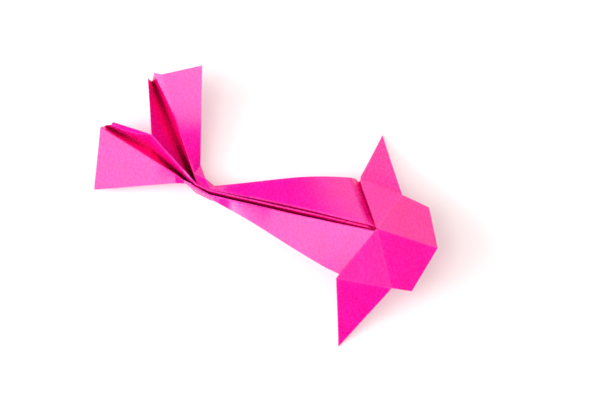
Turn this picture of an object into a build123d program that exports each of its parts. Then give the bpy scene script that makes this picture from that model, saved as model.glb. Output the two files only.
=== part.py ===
from build123d import *
import os
from math import pi, sin

# The fish is one sheet of paper, folded. Lengths are in millimetres.
# A corner is given as (forward of the head's apex, out from the middle line, height above the table).
# Left is the +Y side. Each side has its own corners, because the folds were made by hand.

# The sheet
SHEET_THICKNESS = 0.2
FOLD_WIDTH = 0.4
PLY_GAP = 0.55
MITRE_LIMIT = 1.8

# Head: a shallow hood of facets round its apex
APEX_HEIGHT = 25.5
NOSE_FORWARD = 25.0
NOSE_HEIGHT = 20.8
HEAD_FRONT_LEFT = (17.0, 16.7)
HEAD_FRONT_RIGHT = (19.6, 18.4)
HEAD_SIDE_LEFT = (5.4, 18.4, 16.0)
HEAD_SIDE_RIGHT = (11.5, 19.6, 16.0)
HEAD_REAR_LEFT = (-12.4, 20.3, 14.0)
HEAD_REAR_RIGHT = (-10.6, 21.5, 15.5)
PLEAT_DEPTH = 5.5
PLEAT_INSET = 1.0
PLEAT_SINK_LEFT = 3.0
PLEAT_SINK_MIDDLE = 0.4

# Fins: doubled triangles hollowed between root and tip, the lower ply showing behind the upper one
FIN_TIP_LEFT = (-9.7, 44.5)
FIN_TIP_RIGHT = (-3.2, 44.5)
FIN_HOLLOW_LEFT = (0.4, 0.4)
FIN_HOLLOW_RIGHT = (0.4, 1.4)
FIN_PLY_BEHIND_LEFT = 0.6
FIN_PLY_BEHIND_RIGHT = 0.1
FIN_PLY_INSET = 1.6
FIN_ROWS = 10

# Body: two panels hanging from the lips of a slit, with a pleat folded down inside it
MOUTH_BACK = 2.6
BODY_LENGTH = 66.6
BODY_ROWS = 17
LIP_HEIGHT_HEAD = 24.0
LIP_HEIGHT_WAIST = 11.0
KEEL_HEIGHT_HEAD = 17.5
KEEL_HEIGHT_WAIST = 1.2
RIDGE_HEIGHT_HEAD = 20.0
RIDGE_HEIGHT_WAIST = 11.4
SLIT_HALF_HEAD = 1.2
SLIT_HALF_WAIST = 1.3
SLIT_BULGE = 0.45
RIDGE_SHIFT = 0.35
EDGE_HEAD_LEFT = (-14.5, 20.9, 12.7)
EDGE_HEAD_RIGHT = (-12.2, 19.3, 14.7)
EDGE_WAIST_LEFT = (-68.4, 3.5, 8.6)
EDGE_WAIST_RIGHT = (-69.4, 1.9, 8.6)
EDGE_BOW_LEFT = 0.45
EDGE_BOW_RIGHT = 0.3
EDGE_BELLY_LEFT = 0.7
EDGE_BELLY_RIGHT = 0.3
EDGE_RISE_LEFT = 3.2
EDGE_RISE_RIGHT = 2.7

# Waist: the body turns into the tail
WAIST_CENTRE = (-75.4, 1.6)
WAIST_TURN = 16.0
WAIST_LIP_HEIGHT = 10.0
WAIST_RIDGE_HEIGHT = 11.2
WAIST_SLIT_HALF = 1.0
WAIST_EDGE_LEFT = (-72.5, 5.2, 10.0)
WAIST_EDGE_RIGHT = (-77.8, -0.9, 8.0)

# Tail: the pleat opens into two lobes, parted from a notch in the ridge to the end
NOTCH = (-97.6, 14.5, 18.4)
TAIL_ROWS = 12
NOTCH_ROW = 6
ROLL_START = 0.62
LOBE_START_LEFT = (-76.2, 10.5, 8.5)
LOBE_CORNER_LEFT = (-85.8, 47.2, 20.8)
LOBE_CREST_LEFT = (-101.0, 40.5, 16.0)
LOBE_ROLL_LEFT = (-104.2, 40.7, 15.2)
LOBE_GROOVE_LEFT = (-105.1, 39.5, 6.0)
LOBE_POINT_LEFT = (-106.0, 38.0, 13.6)
GROOVE_BEND_LEFT = (-90.2, 20.6, 3.4)
LOBE_START_RIGHT = (-79.9, -1.4, 9.7)
LOBE_CORNER_RIGHT = (-115.0, 9.8, 3.2)
LOBE_CREST_RIGHT = (-119.2, -14.1, 9.6)
LOBE_ROLL_RIGHT = (-119.0, -14.6, 9.4)
LOBE_GROOVE_RIGHT = (-118.2, -16.9, 4.4)
LOBE_POINT_RIGHT = (-114.7, -15.1, 14.4)
GROOVE_BEND_RIGHT = (-97.2, -12.4, 4.8)
CURL_SAG = 0.9
CURL_RIM = (-114.4, 16.6, 13.6)

points = []
facets = []


def corner(place, side):
    """A corner of the sheet on the left (+1) or right (-1)."""
    return Vector(place[0], side * place[1], place[2])


def between(start, end, part):
    return start + (end - start) * part


def lowered(point, drop):
    return Vector(point.X, point.Y, point.Z - drop)


def add(point):
    points.append(point)
    return len(points) - 1


def add_row(row):
    return [add(point) for point in row]


def quad(a, b, c, d):
    """Two facets over a four-cornered patch, split along its shorter diagonal."""
    if (points[a] - points[c]).length <= (points[b] - points[d]).length:
        facets.extend([(a, b, c), (a, c, d)])
    else:
        facets.extend([(a, b, d), (b, c, d)])


def patch(ids, side):
    """A patch of three or four corners, turned over on the right side so that its upper face stays up."""
    turned = ids if side > 0 else ids[::-1]
    if len(turned) == 4:
        quad(*turned)
    else:
        facets.append(tuple(turned))


def strip(ahead, behind):
    """Patches between two rows that run from the left edge to the right one."""
    for k in range(len(ahead) - 1):
        quad(ahead[k], behind[k], behind[k + 1], ahead[k + 1])


def pleat_row(centre, left, slit_half, shift, lip, keel, ridge, edge_left, edge_right):
    """One row across the sheet: edge, lip, groove, ridge, groove, lip, edge."""
    profile = [
        (slit_half, lip),
        ((slit_half + shift) / 2, keel),
        (shift, ridge),
        ((shift - slit_half) / 2, keel),
        (-slit_half, lip),
    ]
    row = [edge_left]
    for out, height in profile:
        for flat in (FOLD_WIDTH / 2, -FOLD_WIDTH / 2):
            spot = centre + left * (out + flat)
            row.append(Vector(spot.X, spot.Y, height))
    row.append(edge_right)
    return row


# Hood: facets round the apex, from the left rear corner past the nose to the right rear corner
apex = Vector(0, 0, APEX_HEIGHT)
nose = Vector(NOSE_FORWARD, 0, NOSE_HEIGHT)
rear = {}
side = {}
front = {}
for hand, rear_at, side_at, front_at in (
    (1, HEAD_REAR_LEFT, HEAD_SIDE_LEFT, HEAD_FRONT_LEFT),
    (-1, HEAD_REAR_RIGHT, HEAD_SIDE_RIGHT, HEAD_FRONT_RIGHT),
):
    rear[hand] = corner(rear_at, hand)
    side[hand] = corner(side_at, hand)
    # The front corner lies in the flat facet through the apex, the side corner and the nose.
    flat = (side[hand] - apex).cross(nose - apex)
    at = Vector(front_at[0], hand * front_at[1], 0)
    height = apex.Z - (flat.X * (at.X - apex.X) + flat.Y * (at.Y - apex.Y)) / flat.Z
    front[hand] = Vector(at.X, at.Y, height)
hood_top = add(apex)
hood_rim = add_row([rear[1], side[1], front[1], nose, front[-1], side[-1], rear[-1]])
for k in range(len(hood_rim) - 1):
    facets.append((hood_top, hood_rim[k + 1], hood_rim[k]))

# Fins: each is folded over along its front edge, so a second ply lies below the first
for hand, tip_at, hollow, behind, rear_id, side_id in (
    (1, FIN_TIP_LEFT, FIN_HOLLOW_LEFT, FIN_PLY_BEHIND_LEFT, hood_rim[0], hood_rim[1]),
    (-1, FIN_TIP_RIGHT, FIN_HOLLOW_RIGHT, FIN_PLY_BEHIND_RIGHT, hood_rim[6], hood_rim[5]),
):
    tip = Vector(tip_at[0], hand * tip_at[1], PLY_GAP)
    inward = Vector(0, -0.25 * hand, -0.97)
    inset = (tip - rear[hand]).normalized() * FIN_PLY_INSET
    top_rear = [rear_id]
    top_front = [side_id]
    low_rear = [add(lowered(rear[hand] + inset - Vector(behind, 0, 0), PLY_GAP))]
    low_front = [add(lowered(side[hand], PLY_GAP))]
    for k in range(1, FIN_ROWS):
        t = k / FIN_ROWS
        sunk = inward * (4 * t * (1 - t))
        rear_edge = between(rear[hand], tip, t) + sunk * hollow[0]
        front_edge = between(side[hand], tip, t) + sunk * hollow[1]
        top_rear.append(add(rear_edge))
        top_front.append(add(front_edge))
        low_rear.append(add(lowered(rear_edge - Vector(behind * (1 - t), 0, 0), PLY_GAP)))
        low_front.append(add(lowered(front_edge, PLY_GAP)))
    top_tip = add(tip)
    low_tip = add(lowered(tip, PLY_GAP))
    for rear_ids, front_ids, tip_id, face in (
        (top_rear, top_front, top_tip, hand),
        (low_rear, low_front, low_tip, -hand),
    ):
        for k in range(FIN_ROWS - 1):
            patch([front_ids[k], front_ids[k + 1], rear_ids[k + 1]], face)
            patch([front_ids[k], rear_ids[k + 1], rear_ids[k]], face)
        patch([front_ids[-1], tip_id, rear_ids[-1]], face)
    top_front.append(top_tip)
    low_front.append(low_tip)
    for k in range(FIN_ROWS):
        patch([top_front[k + 1], top_front[k], low_front[k], low_front[k + 1]], hand)

# Pleat under the hood: the sheet turns under at the hood's rear edges, runs forward and turns back
ridge_way = (nose - apex).normalized() * PLEAT_DEPTH
inner = [apex + ridge_way]
for hand, place in ((1, 0), (-1, 2)):
    along = (side[hand] - rear[hand]).normalized() * PLEAT_DEPTH
    inner.insert(place, rear[hand] + along - Vector(0, hand * PLEAT_INSET, 0))
outer = [rear[1], apex, rear[-1]]
fold_rear = [hood_rim[0], hood_top, hood_rim[6]]
under_rear = add_row([lowered(p, PLY_GAP) for p in outer])
under_front = add_row([lowered(p, PLY_GAP) for p in inner])
sink = [2 * PLY_GAP + PLEAT_SINK_LEFT, 2 * PLY_GAP + PLEAT_SINK_MIDDLE, 2 * PLY_GAP]
body_front = add_row([lowered(p, drop) for p, drop in zip(inner, sink)])
strip(fold_rear, under_rear)
strip(under_rear, under_front)
strip(under_front, body_front)

# Body: the first row is still flat, the next ones carry the pleat, deeper towards the waist
left = Vector(0, 1, 0)
root = [lowered(between(p, q, 0.3), drop) for p, q, drop in zip(inner, outer, sink)]
flat_row = pleat_row(root[1], left, SLIT_HALF_HEAD, 0, 0, 0, 0, root[0], root[2])
for k in range(1, len(flat_row) - 1):
    spot = flat_row[k]
    edge = root[0] if spot.Y > 0 else root[2]
    part = abs(spot.Y) / abs(edge.Y)
    flat_row[k] = between(root[1], edge, part)
rows = [flat_row]
for k in range(BODY_ROWS):
    t = k / (BODY_ROWS - 1)
    edges = []
    for hand, head_at, waist_at, bow, belly, rise in (
        (1, EDGE_HEAD_LEFT, EDGE_WAIST_LEFT, EDGE_BOW_LEFT, EDGE_BELLY_LEFT, EDGE_RISE_LEFT),
        (-1, EDGE_HEAD_RIGHT, EDGE_WAIST_RIGHT, EDGE_BOW_RIGHT, EDGE_BELLY_RIGHT, EDGE_RISE_RIGHT),
    ):
        edge = between(corner(head_at, hand), corner(waist_at, hand), t)
        out = bow * sin(2 * pi * t) + belly * sin(pi * t)
        edges.append(edge + Vector(0, hand * out, rise * sin(pi * t)))
    slit_half = between(SLIT_HALF_HEAD, SLIT_HALF_WAIST, t) + SLIT_BULGE * sin(pi * t)
    rows.append(
        pleat_row(
            Vector(-MOUTH_BACK - BODY_LENGTH * t, 0, 0),
            left,
            slit_half,
            slit_half * RIDGE_SHIFT,
            between(LIP_HEIGHT_HEAD, LIP_HEIGHT_WAIST, t),
            between(KEEL_HEIGHT_HEAD, KEEL_HEIGHT_WAIST, t),
            between(RIDGE_HEIGHT_HEAD, RIDGE_HEIGHT_WAIST, t),
            edges[0],
            edges[1],
        )
    )
waist = pleat_row(
    Vector(WAIST_CENTRE[0], WAIST_CENTRE[1], 0),
    left.rotate(Axis.Z, -WAIST_TURN),
    WAIST_SLIT_HALF,
    0,
    WAIST_LIP_HEIGHT,
    0,
    WAIST_RIDGE_HEIGHT,
    corner(WAIST_EDGE_LEFT, 1),
    corner(WAIST_EDGE_RIGHT, -1),
)
rows.append(waist)
row_ids = [add_row(row) for row in rows]
root_row = row_ids[0]
quad(body_front[0], root_row[0], root_row[1], body_front[1])
for k in range(1, len(root_row) - 2):
    facets.append((body_front[1], root_row[k], root_row[k + 1]))
quad(body_front[1], root_row[-2], root_row[-1], body_front[2])
for k in range(len(row_ids) - 1):
    strip(row_ids[k], row_ids[k + 1])

# Tail: both lobes as rows from the waist to the end, joined along the ridge as far as the notch
notch = Vector(*NOTCH)
ridge_run = Vector(notch.X - WAIST_CENTRE[0], notch.Y - WAIST_CENTRE[1], 0).normalized()
lobe_rows = {}
for hand, start_at, corner_at, crest_at, roll_at, groove_at, point_at, bend_at in (
    (1, LOBE_START_LEFT, LOBE_CORNER_LEFT, LOBE_CREST_LEFT, LOBE_ROLL_LEFT,
     LOBE_GROOVE_LEFT, LOBE_POINT_LEFT, GROOVE_BEND_LEFT),
    (-1, LOBE_START_RIGHT, LOBE_CORNER_RIGHT, LOBE_CREST_RIGHT, LOBE_ROLL_RIGHT,
     LOBE_GROOVE_RIGHT, LOBE_POINT_RIGHT, GROOVE_BEND_RIGHT),
):
    first = waist[:6] if hand > 0 else waist[:5:-1]
    start = corner(start_at, hand)
    lobe_corner = corner(corner_at, hand)
    crest = corner(crest_at, hand)
    roll = corner(roll_at, hand)
    groove = corner(groove_at, hand)
    point = corner(point_at, hand)
    bend = corner(bend_at, hand)
    groove_run = Vector(groove.X - bend.X, groove.Y - bend.Y, 0).normalized()
    across = groove_run.rotate(Axis.Z, 90 * hand) * (FOLD_WIDTH / 2)
    ridge_out = ridge_run.rotate(Axis.Z, -90 * hand) * (FOLD_WIDTH / 2)
    lobe_rows[hand] = []
    for k in range(1, TAIL_ROWS + 1):
        t = k / TAIL_ROWS
        opened = max(0, (k - 1) / (TAIL_ROWS - 1))
        past = (k - NOTCH_ROW) / (TAIL_ROWS - NOTCH_ROW)
        near = k / NOTCH_ROW
        row = [between(start, lobe_corner, opened)]
        flare = max(0, (t - ROLL_START) / (1 - ROLL_START))
        row.append(between(first[1], crest, t))
        row.append(row[1] + between(first[2] - first[1], roll - crest, flare))
        for from_waist, shift in ((first[3], -1), (first[4], 1)):
            if k <= NOTCH_ROW:
                row.append(between(from_waist, bend + across * shift, near))
            else:
                row.append(between(bend, groove, past) + across * shift)
        if k <= NOTCH_ROW:
            row.append(between(first[5], notch + ridge_out, near))
        else:
            sag = Vector(0, -CURL_SAG * sin(pi * past), 0) if hand < 0 else Vector(0, 0, 0)
            row.append(between(notch + ridge_out, point, past) + sag)
        lobe_rows[hand].append(row)
left_ids = [row_ids[-1][:6]] + [add_row(row) for row in lobe_rows[1]]
right_ids = [row_ids[-1][6:]] + [add_row(row[::-1]) for row in lobe_rows[-1]]
for k in range(TAIL_ROWS):
    strip(left_ids[k], left_ids[k + 1])
    strip(right_ids[k], right_ids[k + 1])
    if k < NOTCH_ROW:
        strip([left_ids[k][-1], right_ids[k][0]], [left_ids[k + 1][-1], right_ids[k + 1][0]])

# Past the notch the ridge stays with the right lobe, as a narrow rim curled over along its inner edge
rim = [left_ids[NOTCH_ROW][-1]]
for k in range(NOTCH_ROW + 1, TAIL_ROWS + 1):
    past = (k - NOTCH_ROW) / (TAIL_ROWS - NOTCH_ROW)
    rim.append(add(between(points[rim[0]], Vector(*CURL_RIM), past)))
for k in range(NOTCH_ROW, TAIL_ROWS):
    strip([rim[k - NOTCH_ROW], right_ids[k][0]], [rim[k + 1 - NOTCH_ROW], right_ids[k + 1][0]])

# Thickness: each corner of the sheet moves half of it to either side, mitred so the plies keep their depth
normals = [[] for _ in points]
for a, b, c in facets:
    normal = (points[b] - points[a]).cross(points[c] - points[a]).normalized()
    for k in (a, b, c):
        normals[k].append(normal)


def mitre(directions):
    """The shift that stands one unit off all the facets that meet at a corner."""
    rows = [Vector(0.02, 0, 0), Vector(0, 0.02, 0), Vector(0, 0, 0.02)]
    aim = Vector(0, 0, 0)
    for n in directions:
        rows[0] += n * n.X
        rows[1] += n * n.Y
        rows[2] += n * n.Z
        aim += n
    volume = rows[0].dot(rows[1].cross(rows[2]))
    move = rows[1].cross(rows[2]) * aim.X + rows[2].cross(rows[0]) * aim.Y + rows[0].cross(rows[1]) * aim.Z
    move = move / volume
    return move if move.length <= MITRE_LIMIT else move.normalized() * MITRE_LIMIT


shifts = [mitre(found) * (SHEET_THICKNESS / 2) for found in normals]
upper = [p + s for p, s in zip(points, shifts)]
lower = [p - s for p, s in zip(points, shifts)]
floor = min(p.Z for p in upper + lower)
ends = [min(p.X for p in upper + lower), max(p.X for p in upper + lower)]
sides = [min(p.Y for p in upper + lower), max(p.Y for p in upper + lower)]
home = Vector(-(ends[0] + ends[1]) / 2, -(sides[0] + sides[1]) / 2, -floor)
upper = [p + home for p in upper]
lower = [p + home for p in lower]

# Skin: the upper and lower faces of every facet, and the raw edge of the paper all round
used = set()
for a, b, c in facets:
    used.update([(a, b), (b, c), (c, a)])
skin = []
for a, b, c in facets:
    skin.append(Face(Wire.make_polygon([upper[a], upper[b], upper[c]])))
    skin.append(Face(Wire.make_polygon([lower[a], lower[c], lower[b]])))
for a, b in sorted(used):
    if (b, a) not in used:
        skin.append(Face(Wire.make_polygon([upper[b], upper[a], lower[a]])))
        skin.append(Face(Wire.make_polygon([upper[b], lower[a], lower[b]])))
paper_fish = Solid(Shell(skin))

os.makedirs("parts", exist_ok=True)
export_step(paper_fish, "parts/paper_fish.step")
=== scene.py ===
import math
from collections import deque

import bmesh
import bpy
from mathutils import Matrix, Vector, kdtree, noise
from mathutils.bvhtree import BVHTree


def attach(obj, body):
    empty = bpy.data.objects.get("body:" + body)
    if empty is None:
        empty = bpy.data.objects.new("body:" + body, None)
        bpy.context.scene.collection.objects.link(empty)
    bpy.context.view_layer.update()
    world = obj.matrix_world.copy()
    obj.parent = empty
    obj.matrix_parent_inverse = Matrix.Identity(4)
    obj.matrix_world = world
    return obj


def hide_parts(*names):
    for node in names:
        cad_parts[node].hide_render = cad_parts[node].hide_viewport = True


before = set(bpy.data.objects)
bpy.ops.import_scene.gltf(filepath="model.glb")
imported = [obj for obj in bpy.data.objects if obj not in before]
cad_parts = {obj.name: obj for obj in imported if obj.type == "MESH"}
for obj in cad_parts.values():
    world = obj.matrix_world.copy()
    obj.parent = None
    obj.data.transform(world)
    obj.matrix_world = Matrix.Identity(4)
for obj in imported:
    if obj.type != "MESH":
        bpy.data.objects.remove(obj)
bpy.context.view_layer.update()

# The folded sheet: one square of dyed craft paper, folded by hand into a fish. Hood, fins, back, pleat and tail
# lobes are all the same paper. Its net is cut small here, so that panels can bow and cockle, and so that the soft
# bends beside the hood, in the slit and at the waist can be pressed in.
MM = 0.001
WELD = 0.001 * MM
UNDER_SIDE, UPPER_SIDE, CUT_EDGE = 0, 1, 2

sheet = bpy.data.objects.new("folded_sheet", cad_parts["paper_fish"].data.copy())
sheet.data.name = "folded_sheet"
bpy.context.scene.collection.objects.link(sheet)

net = bmesh.new()
net.from_mesh(sheet.data)
bmesh.ops.remove_doubles(net, verts=net.verts, dist=WELD)
skin_mark = net.faces.layers.int.new("skin")
line_marks = {name: net.verts.layers.float.new(name) for name in ("fold_mm", "crease_mm", "rim_mm")}
sky_mark = net.verts.layers.float.new("open_sky")
bow_mark = net.loops.layers.float_vector.new("bow")

# The bend where the body comes out from under the hood lies close to the hood's edge on the right.
LEFT, RIGHT = 0, 1
HOOD_APEX = Vector((0.0470, -0.0013))
HOOD_REAR = (Vector((0.0346, 0.0190)), Vector((0.0364, -0.0228)))
HOOD_COVER = 3.4 * MM
MOUTH_CLEAR = 1 * MM
MOUTH_LENGTH = 25 * MM
MOUTH_FORWARD = Vector((1.7 * MM, 0, 0.1 * MM))

hood_runs = [(far - HOOD_APEX).normalized() for far in HOOD_REAR]


def from_apex(spot, run):
    """How far a spot lies along and aside of a line that starts at the hood's apex."""
    off = spot.xy - HOOD_APEX
    return off.dot(run), off.x * run.y - off.y * run.x


for vert in net.verts:
    along, aside = from_apex(vert.co, hood_runs[RIGHT])
    if MOUTH_CLEAR < aside < HOOD_COVER and MOUTH_CLEAR < along < MOUTH_LENGTH:
        vert.co += MOUTH_FORWARD

# The two sides of the paper are told apart from its cut edge.
RAW_EDGE = 0.38 * MM
SHARP_HOLLOW = math.radians(30)


def is_thin(face):
    longest = max(edge.calc_length() for edge in face.edges)
    return 2 * face.calc_area() / longest < RAW_EDGE


def is_raw_edge(face):
    """A strip of the cut edge is about as wide as the paper is thick, and no facet meets it in a sharp hollow."""
    for edge in face.edges:
        hollow = edge.calc_face_angle(0) > SHARP_HOLLOW and not edge.is_convex
        if hollow and not all(is_thin(other) for other in edge.link_faces):
            return False
    return is_thin(face)


def skin_from(seed, borders):
    """The faces of one side of the paper, reached from a seed without crossing its cut edge."""
    found = {seed}
    queue = deque([seed])
    while queue:
        for edge in queue.popleft().edges:
            for face in edge.link_faces:
                if face not in found and face not in borders:
                    found.add(face)
                    queue.append(face)
    return found


cut_strips = {face for face in net.faces if is_raw_edge(face)}
top_face = max(net.faces, key=lambda face: -1 if face in cut_strips else face.calc_center_median().z)
upper_skin = skin_from(top_face, cut_strips)
for face in net.faces:
    if face in cut_strips:
        face[skin_mark] = CUT_EDGE
    else:
        face[skin_mark] = UPPER_SIDE if face in upper_skin else UNDER_SIDE
    face.smooth = True

# Edges of the net are bowed panels, pressed folds, sharp creases or rims; points along the last three are kept.
BOW_STRIP = 7 * MM
BOW_ANGLE = math.radians(22)
HOOD_BEND_ANGLE = math.radians(60)
HOOD_BEND_START = 0.5 * MM
HOOD_BEND_LENGTH = 8 * MM
FOLD_ANGLE = math.radians(3)
CREASE_ANGLE = math.radians(45)
LINE_STEP = 0.15 * MM


def beside_hood(edge):
    """Which rear edge of the hood, left or right, an edge of the body runs beside, or None."""
    for hand, run in enumerate(hood_runs):
        places = [from_apex(vert.co, run) for vert in edge.verts]
        covered = all(abs(aside) < HOOD_COVER and along > HOOD_BEND_START for along, aside in places)
        if covered and edge.calc_length() > HOOD_BEND_LENGTH:
            return hand
    return None


def is_bow(edge):
    """Narrow strips that meet at a small angle are one bowed panel; wide facets meet in a pressed fold."""
    widest = max(2 * face.calc_area() / edge.calc_length() for face in edge.link_faces)
    if widest > BOW_STRIP:
        return False
    hand = beside_hood(edge)
    if hand is not None and edge.calc_face_angle(0) < HOOD_BEND_ANGLE:
        return hand == LEFT
    return edge.calc_face_angle(0) < BOW_ANGLE


line_points = {(name, side): [] for name in line_marks for side in (UNDER_SIDE, UPPER_SIDE)}
for edge in net.edges:
    kinds = {face[skin_mark] for face in edge.link_faces}
    angle = edge.calc_face_angle(0)
    edge.smooth = is_bow(edge)
    name = None
    if CUT_EDGE in kinds:
        name = "rim_mm" if len(kinds) > 1 else None
    elif edge.is_convex and angle > FOLD_ANGLE and not edge.smooth:
        name = "fold_mm"
    elif angle > CREASE_ANGLE:
        name = "crease_mm"
    if name:
        start, end = edge.verts[0].co, edge.verts[1].co
        steps = max(2, int(edge.calc_length() / LINE_STEP))
        side = UPPER_SIDE if UPPER_SIDE in kinds else UNDER_SIDE
        line_points[name, side].extend(start.lerp(end, k / steps) for k in range(steps + 1))


def bowed_normal(loop):
    """The direction a bowed panel faces at a corner: the mean of the facets reached over bowed edges only."""
    reached = {loop.face}
    queue = deque([loop.face])
    while queue:
        for edge in queue.popleft().edges:
            if loop.vert in edge.verts and edge.smooth:
                for face in edge.link_faces:
                    if face not in reached:
                        reached.add(face)
                        queue.append(face)
    mean = Vector((0, 0, 0))
    for face in reached:
        for corner in face.loops:
            if corner.vert == loop.vert:
                mean += face.normal * corner.calc_angle()
    return mean.normalized()


for face in net.faces:
    for loop in face.loops:
        loop[bow_mark] = bowed_normal(loop)

# The net is halved until its triangles are small, and then cut along the lines where the soft bends begin and end.
PATCH = 1.5 * MM
HALVINGS = 9
DIP_LINES = [at * MM for at in (0.15, 0.35, 1.3, 2.3, 3.3, 4.2)]
DIP_REACH = 17 * MM
SHOULDER = Vector((-0.0365, -0.0013))
SHOULDER_WAY = Vector((0.962, 0.272))
SHOULDER_RUN = 3.4 * MM
SHOULDER_REACH = 9 * MM
RIB_START = 0.55 * MM
RIB_FULL = 3.6 * MM
RIB_RUN = 60 * MM
RIB_END_REACH = 5 * MM
SLIT_HALF = 0.88 * MM
SLIT_SPREAD = 0.0178
SLIT_WALL = 0.2 * MM


def make_triangles():
    bmesh.ops.triangulate(net, faces=[face for face in net.faces if len(face.verts) > 3])


def cut_lines(spot, way, aways, reach):
    """Cut the net along parallel lines, so that both sides of the paper bend at the same place."""
    for away in aways:
        faces = [face for face in net.faces if (face.calc_center_median().xy - spot).length < reach]
        edges = {edge for face in faces for edge in face.edges}
        verts = {vert for face in faces for vert in face.verts}
        bmesh.ops.bisect_plane(
            net,
            geom=[*verts, *edges, *faces],
            dist=WELD,
            plane_co=(spot + way * away).to_3d(),
            plane_no=way.to_3d(),
        )
    make_triangles()


for _ in range(HALVINGS):
    long_edges = [edge for edge in net.edges if edge.calc_length() > PATCH]
    if not long_edges:
        break
    bmesh.ops.subdivide_edges(net, edges=long_edges, cuts=1)
    make_triangles()

dip_run = hood_runs[LEFT]
dip_way = Vector((-dip_run.y, dip_run.x))
dip_length = (HOOD_REAR[LEFT] - HOOD_APEX).length
cut_lines((HOOD_APEX + HOOD_REAR[LEFT]) / 2, dip_way, DIP_LINES, DIP_REACH)
cut_lines(SHOULDER, SHOULDER_WAY, (0.0, SHOULDER_RUN), SHOULDER_REACH)
cut_lines(HOOD_APEX, Vector((-1, 0)), (RIB_START, RIB_FULL), RIB_END_REACH)
slit_middle = HOOD_APEX - Vector((RIB_RUN / 2, 0))
slit_half = SLIT_HALF + SLIT_SPREAD * RIB_RUN / 2
for hand in (1, -1):
    wall_lines = (hand * slit_half, hand * (slit_half - SLIT_WALL))
    cut_lines(slit_middle, Vector((hand * SLIT_SPREAD, 1)), wall_lines, RIB_RUN / 2)

# Each corner of the net keeps its distance, in millimetres, to the nearest fold, crease and rim on its own side.
FARTHEST_MM = 20.0


def nearness(places):
    tree = kdtree.KDTree(len(places))
    for k, place in enumerate(places):
        tree.insert(place, k)
    tree.balance()
    return tree


def side_of(vert):
    """A corner on the upper rim counts with the upper side, any other corner of the cut edge with the under side."""
    return UPPER_SIDE if any(face[skin_mark] == UPPER_SIDE for face in vert.link_faces) else UNDER_SIDE


for (name, side), places in line_points.items():
    tree = nearness(places)
    for vert in net.verts:
        if side == side_of(vert):
            vert[line_marks[name]] = min(FARTHEST_MM, tree.find(vert.co)[2] / MM)

# The paper cockles a little, and less near the table. The left body panel dips beside the hood, the ridge in the
# slit stands higher towards the head, and the right tail lobe turns down at its shoulder.
COCKLE = 0.10 * MM
COCKLE_SIZE = 17 * MM
COCKLE_SEED = 11
CALM_HEIGHT = 4 * MM
DIP_DEPTH = 3.0 * MM
DIP_START, DIP_FULL, DIP_WIDTH = DIP_LINES[0], DIP_LINES[1], DIP_LINES[-1]
DIP_SWELL_SHARE = 0.5
DIP_END_SHARE = 1.3
RIB_LIFT = 2.7 * MM
SHOULDER_END = 6.4 * MM
SHOULDER_SLOPE = 0.38
SHOULDER_FOOT = 4 * MM
SHOULDER_STAND = 6 * MM
LOBE_LIP = Vector((-0.0385, 0.0042))
LOBE_WAY = Vector((-0.474, -0.880))
LOBE_WALL = 3.0 * MM
LOBE_WIDTH = 8 * MM


def dip_depth(off):
    behind = off.dot(dip_way)
    along = off.dot(dip_run) / dip_length
    if not (DIP_START < behind < DIP_WIDTH and 0 < along < DIP_END_SHARE):
        return 0.0
    step = min(1.0, (behind - DIP_START) / (DIP_FULL - DIP_START))
    swell = math.sin(math.pi / 2 * min(1.0, along / DIP_SWELL_SHARE))
    return DIP_DEPTH * step * (1 - behind / DIP_WIDTH) ** 2 * swell


def rib_lift(back, aside):
    if not RIB_START < back < RIB_RUN:
        return 0.0
    rise = min(1.0, (back - RIB_START) / (RIB_FULL - RIB_START)) * (1 - back / RIB_RUN)
    inside = SLIT_HALF + SLIT_SPREAD * back - aside
    return RIB_LIFT * rise * min(1.0, max(0.0, inside / SLIT_WALL))


def shoulder_fall(spot):
    past = (spot.xy - SHOULDER).dot(SHOULDER_WAY)
    below_lip = (spot.xy - LOBE_LIP).dot(LOBE_WAY)
    if not (0 < past < SHOULDER_END and -LOBE_WALL < below_lip < LOBE_WIDTH):
        return 0.0
    rest = SHOULDER_RUN * (SHOULDER_END - past) / (SHOULDER_END - SHOULDER_RUN)
    stand = min(1.0, max(0.0, (spot.z - SHOULDER_FOOT) / SHOULDER_STAND))
    return SHOULDER_SLOPE * min(past, rest) * stand * min(1.0, 1 + below_lip / LOBE_WALL)


net.normal_update()
flat_normals = [face.normal.copy() for face in net.faces]
noise.seed_set(COCKLE_SEED)
for vert in net.verts:
    off = vert.co.xy - HOOD_APEX
    calm = min(1.0, vert.co.z / CALM_HEIGHT)
    vert.co += noise.noise_vector(vert.co / COCKLE_SIZE) * COCKLE * calm
    vert.co.z -= dip_depth(off)
    vert.co.z += rib_lift(HOOD_APEX.x - vert.co.x, abs(off.y))
    vert.co.z -= shoulder_fall(vert.co)
net.normal_update()

# Each corner keeps how much of the space over it is free of other paper; the less is free, the more painted shade
# it gets. The ridge in the slit counts as a little freer near the hood, so that it gets less painted shade there,
# standing in for light that comes through the thin paper.
SKY_RAYS = 24
SKY_REACH = 40 * MM
SKY_START = 0.03 * MM
GOLDEN_ANGLE = math.pi * (3 - math.sqrt(5))
DEEP_SHADE_SKY = 0.17
SLIT_SHADE_LIFT_RUN = 30 * MM
SLIT_SHADE_LIFT_HALF = 1.6 * MM

cover = BVHTree.FromBMesh(net)
sky_ways = []
for k in range(SKY_RAYS):
    height = math.sqrt((k + 0.5) / SKY_RAYS)
    out = math.sqrt(1 - height * height)
    sky_ways.append((out * math.cos(k * GOLDEN_ANGLE), out * math.sin(k * GOLDEN_ANGLE), height))


def open_sky(spot, up):
    """The share of the half space over a spot of the paper that no other paper covers."""
    across = up.orthogonal().normalized()
    along = up.cross(across)
    start = spot + up * SKY_START
    clear = 0
    for x, y, z in sky_ways:
        if cover.ray_cast(start, across * x + along * y + up * z, SKY_REACH)[0] is None:
            clear += 1
    return clear / SKY_RAYS


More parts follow.
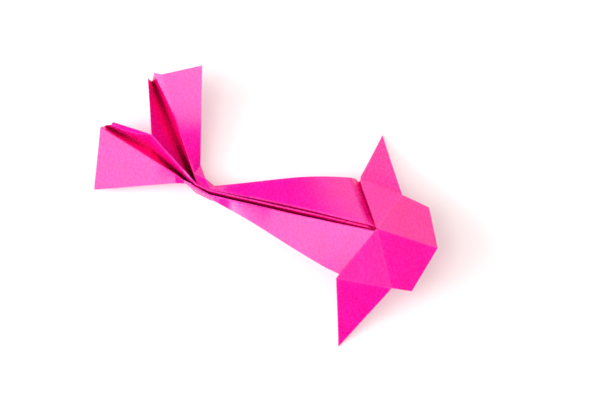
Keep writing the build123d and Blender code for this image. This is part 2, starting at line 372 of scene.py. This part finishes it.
for vert in net.verts:
    up = sum((face.normal * face.calc_area() for face in vert.link_faces), Vector((0, 0, 0)))
    off = vert.co.xy - HOOD_APEX
    shade_lift = 1 - off.length / SLIT_SHADE_LIFT_RUN if abs(off.y) < SLIT_SHADE_LIFT_HALF else 0
    vert[sky_mark] = max(open_sky(vert.co, up.normalized()), DEEP_SHADE_SKY * shade_lift)

# Bowed panels are shaded as one curve, with the cockles and the soft bends added to it.
facing_ways = []
for face, flat in zip(net.faces, flat_normals):
    face.material_index = 1 if face[skin_mark] == CUT_EDGE else 0
    for loop in face.loops:
        facing_ways.append((loop[bow_mark] + face.normal - flat).normalized())
net.to_mesh(sheet.data)
net.free()
sheet.data.normals_split_custom_set(facing_ways)

# The paper's finish: bright pink, dyed through, with a slight sheen, fine fibres and a faint cloudiness in the dye.
# Pressed folds and cut edges are painted paler, partly as rubbed paper and partly as painted highlight. Pleats,
# sharp creases and other places where less light gets in get painted shade, a deeper red. The thin sheet lets a
# little light through.
PINK = (0.95, 0.0, 0.335, 1)
PINK_CLOUD = (0.97, 0.003, 0.40, 1)
# Paler pinks: rubbed paper with a painted highlight along folds and cut edges. Deeper reds: painted shade.
PINK_RUBBED_AND_HIGHLIGHT = (0.98, 0.10, 0.50, 1)
PINK_SHADE = (0.88, 0.0, 0.15, 1)
PINK_DEEP_SHADE = (0.16, 0.0, 0.015, 1)
PINK_CREASE_SHADE = (0.55, 0.0, 0.07, 1)
PINK_CUT_AND_HIGHLIGHT = (0.98, 0.22, 0.56, 1)
CUT_SHARE = 0.6
FIBRE_SIZE = 1100
CLOUD_SIZE = 160
FLECK_RANGE = (0.75, 1.25)
PATCHY_RANGE = (0.3, 0.6)
FIBRE_RANGE = (0.3, 0.7)
FIBRE_ROUGHNESS = (0.25, 0.30)
FIBRE_BUMP = 0.16
FIBRE_DEPTH = 0.06 * MM
DULL_CREASE_MM = (0.2, 0.7)
SHEEN = 0.7
TRANSLUCENCY = 0.5
LIGHT_SPREAD = 0.35 * MM
LIGHT_SPREAD_RGB = (1.0, 0.3, 0.6)

# Tints on the sheet's faces: the mark each follows, where it ends, its colour, its full amount, how patchy it is.
# The first two rows are rubbed paler paper with a painted highlight, the last three are painted shade.
WEAR_AND_PAINTED_LIGHT = (
    ("fold_mm", 0.40, PINK_RUBBED_AND_HIGHLIGHT, 0.65, 0.65),
    ("rim_mm", 0.45, PINK_CUT_AND_HIGHLIGHT, 0.40, 0.65),
    ("open_sky", 0.85, PINK_SHADE, 0.75, 0.1),
    ("open_sky", DEEP_SHADE_SKY, PINK_DEEP_SHADE, 0.90, 0.1),
    ("crease_mm", 0.6, PINK_CREASE_SHADE, 0.75, 0.1),
)

# Sockets of a Mix node for colours.
MIX_FACTOR, MIX_A, MIX_B, MIX_RESULT = 0, 6, 7, 2


def add_socket(tree, name, way, value=None):
    socket = tree.interface.new_socket(name, in_out=way, socket_type="NodeSocketFloat")
    if value is not None:
        socket.default_value = value


def add_node(tree, kind, x, y, **settings):
    node = tree.nodes.new(kind)
    node.location = (x, y)
    for name, value in settings.items():
        setattr(node, name, value)
    return node


def set_inputs(node, values):
    for name, value in values.items():
        node.inputs[name].default_value = value


def link(tree, out_node, out_name, in_node, in_name):
    tree.links.new(out_node.outputs[out_name], in_node.inputs[in_name])


fibre = bpy.data.node_groups.new("paper_fibre", "ShaderNodeTree")
add_socket(fibre, "Fibre Size", "INPUT", FIBRE_SIZE)
add_socket(fibre, "Cloud Size", "INPUT", CLOUD_SIZE)
add_socket(fibre, "Fibre", "OUTPUT")
add_socket(fibre, "Cloud", "OUTPUT")
entry = add_node(fibre, "NodeGroupInput", -800, 0)
leave = add_node(fibre, "NodeGroupOutput", 400, 0)
place = add_node(fibre, "ShaderNodeTexCoord", -800, -200)
stretch = add_node(fibre, "ShaderNodeMapping", -600, -200)
set_inputs(stretch, {"Scale": (1.0, 0.75, 1.0), "Rotation": (0.3, 0.2, 0.7)})
grain = add_node(fibre, "ShaderNodeTexNoise", -300, 100)
set_inputs(grain, {"Detail": 2, "Roughness": 0.65, "Distortion": 0.6})
cloud = add_node(fibre, "ShaderNodeTexNoise", -300, -200)
set_inputs(cloud, {"Detail": 3})
link(fibre, place, "Object", stretch, "Vector")
link(fibre, stretch, "Vector", grain, "Vector")
link(fibre, place, "Object", cloud, "Vector")
link(fibre, entry, "Fibre Size", grain, "Scale")
link(fibre, entry, "Cloud Size", cloud, "Scale")
link(fibre, grain, "Fac", leave, "Fibre")
link(fibre, cloud, "Fac", leave, "Cloud")


def ramp(tree, x, y, span, ends=(0.0, 1.0)):
    """Turn a value that runs over a span into one that runs between two ends."""
    node = add_node(tree, "ShaderNodeMapRange", x, y)
    set_inputs(node, {"From Min": span[0], "From Max": span[1], "To Min": ends[0], "To Max": ends[1]})
    return node


def paint_wear_and_light(tree, grain, colour, y, mark, reach, tint, amount, patchiness):
    """Lay painted highlight or shade over a colour, strongest where the mark is nought and gone at its reach."""
    far = add_node(tree, "ShaderNodeAttribute", -900, y, attribute_name=mark)
    near = ramp(tree, -700, y, (0.0, reach), (amount, 0.0))
    link(tree, far, "Fac", near, "Value")
    broken = ramp(tree, -700, y - 150, PATCHY_RANGE, (1 - patchiness, 1.0))
    link(tree, grain, "Cloud", broken, "Value")
    patchy = add_node(tree, "ShaderNodeMath", -500, y, operation="MULTIPLY")
    link(tree, near, "Result", patchy, 0)
    link(tree, broken, "Result", patchy, 1)
    painted_tint = add_node(tree, "ShaderNodeMix", -250, y, data_type="RGBA")
    set_inputs(painted_tint, {MIX_B: tint})
    link(tree, colour, MIX_RESULT, painted_tint, MIX_A)
    link(tree, patchy, "Value", painted_tint, MIX_FACTOR)
    return painted_tint


def paper_material(name, is_face):
    """Fibrous, cloudily dyed paper: faces with painted highlights on rubbed folds and painted shade, or the cut
    edge.
    """
    material = bpy.data.materials.new(name)
    material.use_nodes = True
    tree = material.node_tree
    skin = tree.nodes["Principled BSDF"]
    grain = add_node(tree, "ShaderNodeGroup", -1100, 0, node_tree=fibre)

    flecks = add_node(tree, "ShaderNodeMath", -900, 200, operation="ADD")
    link(tree, grain, "Cloud", flecks, 0)
    link(tree, grain, "Fibre", flecks, 1)
    clouds = ramp(tree, -700, 200, FLECK_RANGE)
    link(tree, flecks, "Value", clouds, "Value")
    colour = add_node(tree, "ShaderNodeMix", -450, 200, data_type="RGBA")
    set_inputs(colour, {MIX_A: PINK, MIX_B: PINK_CLOUD})
    link(tree, clouds, "Result", colour, MIX_FACTOR)
    if is_face:
        # Painted highlights on folds and rims, then painted shade in pleats, hollows and creases.
        for k, tint_row in enumerate(WEAR_AND_PAINTED_LIGHT):
            colour = paint_wear_and_light(tree, grain, colour, -200 - 300 * k, *tint_row)
    else:
        # The cut edge is painted paler: partly the lighter edge of the paper, partly a painted highlight where it
        # catches light.
        cut = add_node(tree, "ShaderNodeMix", -250, 200, data_type="RGBA")
        set_inputs(cut, {MIX_FACTOR: CUT_SHARE, MIX_B: PINK_CUT_AND_HIGHLIGHT})
        link(tree, colour, MIX_RESULT, cut, MIX_A)
        colour = cut
    link(tree, colour, MIX_RESULT, skin, "Base Color")

    rough = ramp(tree, 0, -700, FIBRE_RANGE, FIBRE_ROUGHNESS)
    link(tree, grain, "Fibre", rough, "Value")
    crease = add_node(tree, "ShaderNodeAttribute", -200, -950, attribute_name="crease_mm")
    dull = ramp(tree, 0, -950, DULL_CREASE_MM, (1.0, 0.0))
    link(tree, crease, "Fac", dull, "Value")
    roughest = add_node(tree, "ShaderNodeMath", 200, -700, operation="MAXIMUM")
    link(tree, rough, "Result", roughest, 0)
    link(tree, dull, "Result", roughest, 1)
    link(tree, roughest, "Value", skin, "Roughness")

    bump = add_node(tree, "ShaderNodeBump", 0, -1200)
    set_inputs(bump, {"Strength": FIBRE_BUMP, "Distance": FIBRE_DEPTH})
    link(tree, grain, "Fibre", bump, "Height")
    link(tree, bump, "Normal", skin, "Normal")
    set_inputs(skin, {
        "Specular IOR Level": SHEEN,
        "Subsurface Weight": TRANSLUCENCY,
        "Subsurface Radius": LIGHT_SPREAD_RGB,
        "Subsurface Scale": LIGHT_SPREAD,
    })
    return material


sheet.data.materials.clear()
sheet.data.materials.append(paper_material("pink_paper", True))
sheet.data.materials.append(paper_material("cut_edge_and_highlight", False))
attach(sheet, "root")
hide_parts("paper_fish")

# The table: a plain white matt top with no visible grain. It glows a little, so that the shadows on it stay pale,
# as they do in a bright white room.
TABLE_HALF = 3.0
TABLE_CORNERS = ((-1, -1), (1, -1), (1, 1), (-1, 1))

table_mesh = bpy.data.meshes.new("table_top")
table_mesh.from_pydata([(x * TABLE_HALF, y * TABLE_HALF, 0) for x, y in TABLE_CORNERS], [], [(0, 1, 2, 3)])
table = bpy.data.objects.new("table_top", table_mesh)
bpy.context.scene.collection.objects.link(table)
table_white = bpy.data.materials.new("table_white")
table_white.use_nodes = True
set_inputs(table_white.node_tree.nodes["Principled BSDF"], {
    "Base Color": (0.72, 0.72, 0.72, 1),
    "Emission Color": (1.0, 0.90, 0.89, 1),
    "Emission Strength": 0.32,
    "Roughness": 0.8,
    "Specular IOR Level": 0.1,
})
table_mesh.materials.append(table_white)

# The light: a large window-like panel low on the left, a softer one high over the near side, and a weak warm one
# low on the far side. A wide, faintly rosy ceiling fills the shadows. East is the picture's right, north its top.
HEADING = math.radians(-15.8)
EAST = Vector((math.cos(HEADING), -math.sin(HEADING), 0))
NORTH = Vector((math.sin(HEADING), math.cos(HEADING), 0))
UP = Vector((0, 0, 1))


def facing(obj, spot, target, roll_up=UP):
    """Put a lamp or the camera at a spot and turn it to a target."""
    back = (spot - target).normalized()
    right = roll_up.cross(back).normalized()
    over = back.cross(right)
    turn = obj.matrix_world.copy()
    for row in range(3):
        turn[row][0], turn[row][1], turn[row][2], turn[row][3] = right[row], over[row], back[row], spot[row]
    obj.matrix_world = turn


def panel(name, bearing, height, distance, width, tall, power, colour):
    """A lit panel at a bearing from the east and a height over the table, both in degrees."""
    lamp = bpy.data.lights.new(name, "AREA")
    lamp.shape = "RECTANGLE"
    lamp.size, lamp.size_y = width, tall
    lamp.energy = power
    lamp.color = colour
    obj = bpy.data.objects.new(name, lamp)
    bpy.context.scene.collection.objects.link(obj)
    b, h = math.radians(bearing), math.radians(height)
    way = (EAST * math.cos(b) + NORTH * math.sin(b)) * math.cos(h) + UP * math.sin(h)
    facing(obj, way * distance, Vector((0, 0, 0)))
    return obj


panel("window_left", 188, 34, 1.2, 0.8, 0.5, 11.0, (0.94, 0.97, 1.0))
panel("softbox_over", 212, 61, 1.3, 0.8, 0.8, 6.2, (1.0, 0.98, 1.0))
panel("warm_far_right", 72, 24, 1.4, 1.2, 0.6, 3.8, (1.0, 0.84, 0.68))
ceiling = panel("white_ceiling", 20, 88, 1.8, 3.6, 3.6, 43, (1.0, 0.90, 0.89))
ceiling.visible_glossy = False

room = bpy.data.worlds.new("white_room")
room.use_nodes = True
set_inputs(room.node_tree.nodes["Background"], {"Color": (1.0, 1.0, 1.0, 1), "Strength": 0.03})
bpy.context.scene.world = room
bpy.context.scene.view_settings.view_transform = "Standard"
bpy.context.scene.view_settings.look = "None"

# The camera: it looks down on the fish from the near side, 15 degrees off the vertical, from far off through a long
# lens, so that high and low parts keep nearly the same scale.
TILT = math.radians(15)
PICTURE_PIXELS = 612
PIXEL_WIDTH = 0.4 * MM
SENSOR = 36
FAR = 1.5
VIEW_END = 20

aim = HOOD_APEX.to_3d() + EAST * (-28.0 * MM) + NORTH * (14.1 * MM) + UP * (10 * MM)
lens = bpy.data.cameras.new("camera")
lens.sensor_fit = "HORIZONTAL"
lens.sensor_width = SENSOR
lens.lens = SENSOR * FAR / (PICTURE_PIXELS * PIXEL_WIDTH)
lens.clip_end = VIEW_END
camera = bpy.data.objects.new("camera", lens)
bpy.context.scene.collection.objects.link(camera)
facing(camera, aim + (UP * math.cos(TILT) - NORTH * math.sin(TILT)) * FAR, aim, NORTH)
bpy.context.scene.camera = camera
